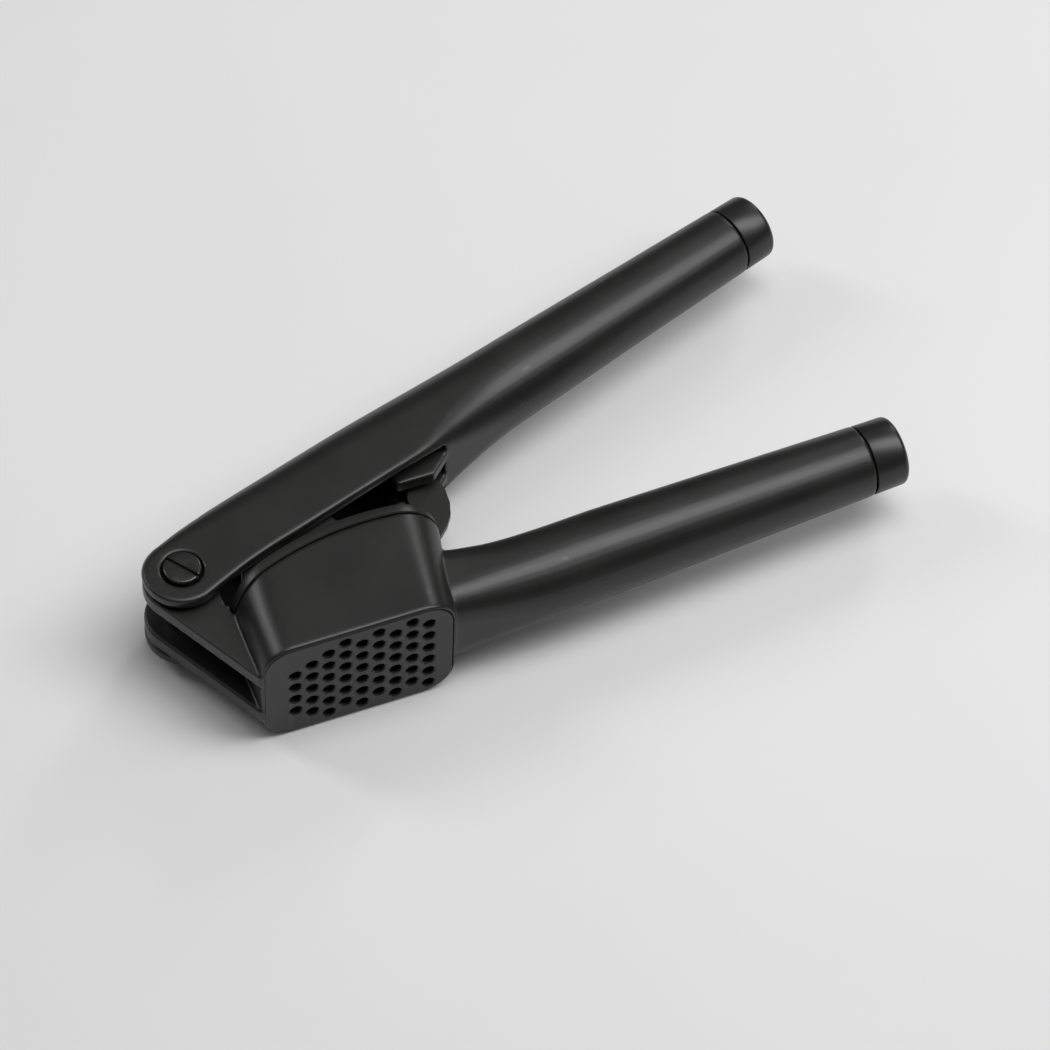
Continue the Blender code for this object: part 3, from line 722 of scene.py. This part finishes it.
# %% [markdown]
# ## Light
# One broad lamp high on the handles' side draws the long soft streak on the tubes, and two
# narrower ones behind the press pick out its back edges.  The sky is pale overhead and nearly
# dark at the horizon, which keeps the dark band low on the tubes.

# %% Lamps
def soft_lamp(name, azimuth, elevation, distance, size, power):
    """A rectangular soft lamp aimed at the frame's origin, under the middle of the press."""
    lamp = bpy.data.lights.new(name, "AREA")
    lamp.shape, lamp.size, lamp.size_y, lamp.energy = "RECTANGLE", size[0], size[1], power
    obj = bpy.data.objects.new(name, lamp)
    a, e = math.radians(azimuth), math.radians(elevation)
    towards = Vector((math.sin(a) * math.cos(e), -math.cos(a) * math.cos(e), math.sin(e)))
    obj.location = towards * distance
    obj.rotation_euler = towards.to_track_quat("Z", "Y").to_euler()
    bpy.context.scene.collection.objects.link(obj)


soft_lamp("overhead", 68.0, 67.0, 0.9, (0.42, 1.00), 7.0)
soft_lamp("behind_left", -133.0, 37.0, 1.0, (0.20, 0.40), 1.7)
soft_lamp("behind_right", 132.0, 33.0, 1.1, (0.20, 0.40), 1.5)
world = bpy.data.worlds.new("pale_room")
world.use_nodes = True
sky, sky_links = world.node_tree.nodes, world.node_tree.links
direction, height, fade = (sky.new("ShaderNode" + kind)
                           for kind in ("TexCoord", "SeparateXYZ", "MapRange"))
fade.inputs["From Min"].default_value, fade.inputs["From Max"].default_value = 0.25, 0.85
fade.inputs["To Min"].default_value, fade.inputs["To Max"].default_value = 0.015, 0.22
sky_links.new(direction.outputs["Generated"], height.inputs["Vector"])
sky_links.new(height.outputs["Z"], fade.inputs["Value"])
sky_links.new(fade.outputs["Result"], sky["Background"].inputs["Strength"])
sky["Background"].inputs["Color"].default_value = (1.0, 1.0, 1.0, 1.0)
bpy.context.scene.world = world
bpy.context.scene.view_settings.view_transform = "Standard"
print("three lamps and a sky that fades towards the horizon")

# %% [markdown]
# ## Camera
# A long lens from well above the press: the flank of the lever and the perforated floor both
# show, and the two handles run to the upper right.

# %% Camera
AZIMUTH, ELEVATION, ROLL = -23.19, 53.78, 2.55
DISTANCE, LENS, SENSOR = 1.0804, 174.1, 36.0
AIM_RIGHT, AIM_UP, AIM_LIFT = 0.07261, 0.01595, 0.0004      # metres from the hinge
a, e, roll = (math.radians(v) for v in (AZIMUTH, ELEVATION, ROLL))
back = Vector((math.sin(a) * math.cos(e), -math.cos(a) * math.cos(e), math.sin(e)))
level = Vector((math.cos(a), math.sin(a), 0.0))
rise = back.cross(level)
right = level * math.cos(roll) + rise * math.sin(roll)
up = rise * math.cos(roll) - level * math.sin(roll)
aim = HINGE + right * AIM_RIGHT + up * AIM_UP + Vector((0.0, 0.0, AIM_LIFT))
lens = bpy.data.cameras.new("portrait")
lens.lens, lens.sensor_width, lens.clip_end = LENS, SENSOR, 20.0
camera = bpy.data.objects.new("portrait", lens)
camera.matrix_world = Matrix.Translation(aim + back * DISTANCE) @ Matrix(
    (right, up, back)).transposed().to_4x4()
bpy.context.scene.collection.objects.link(camera)
bpy.context.scene.camera = camera
print("camera", round((aim + back * DISTANCE).length, 3), "m from the origin")
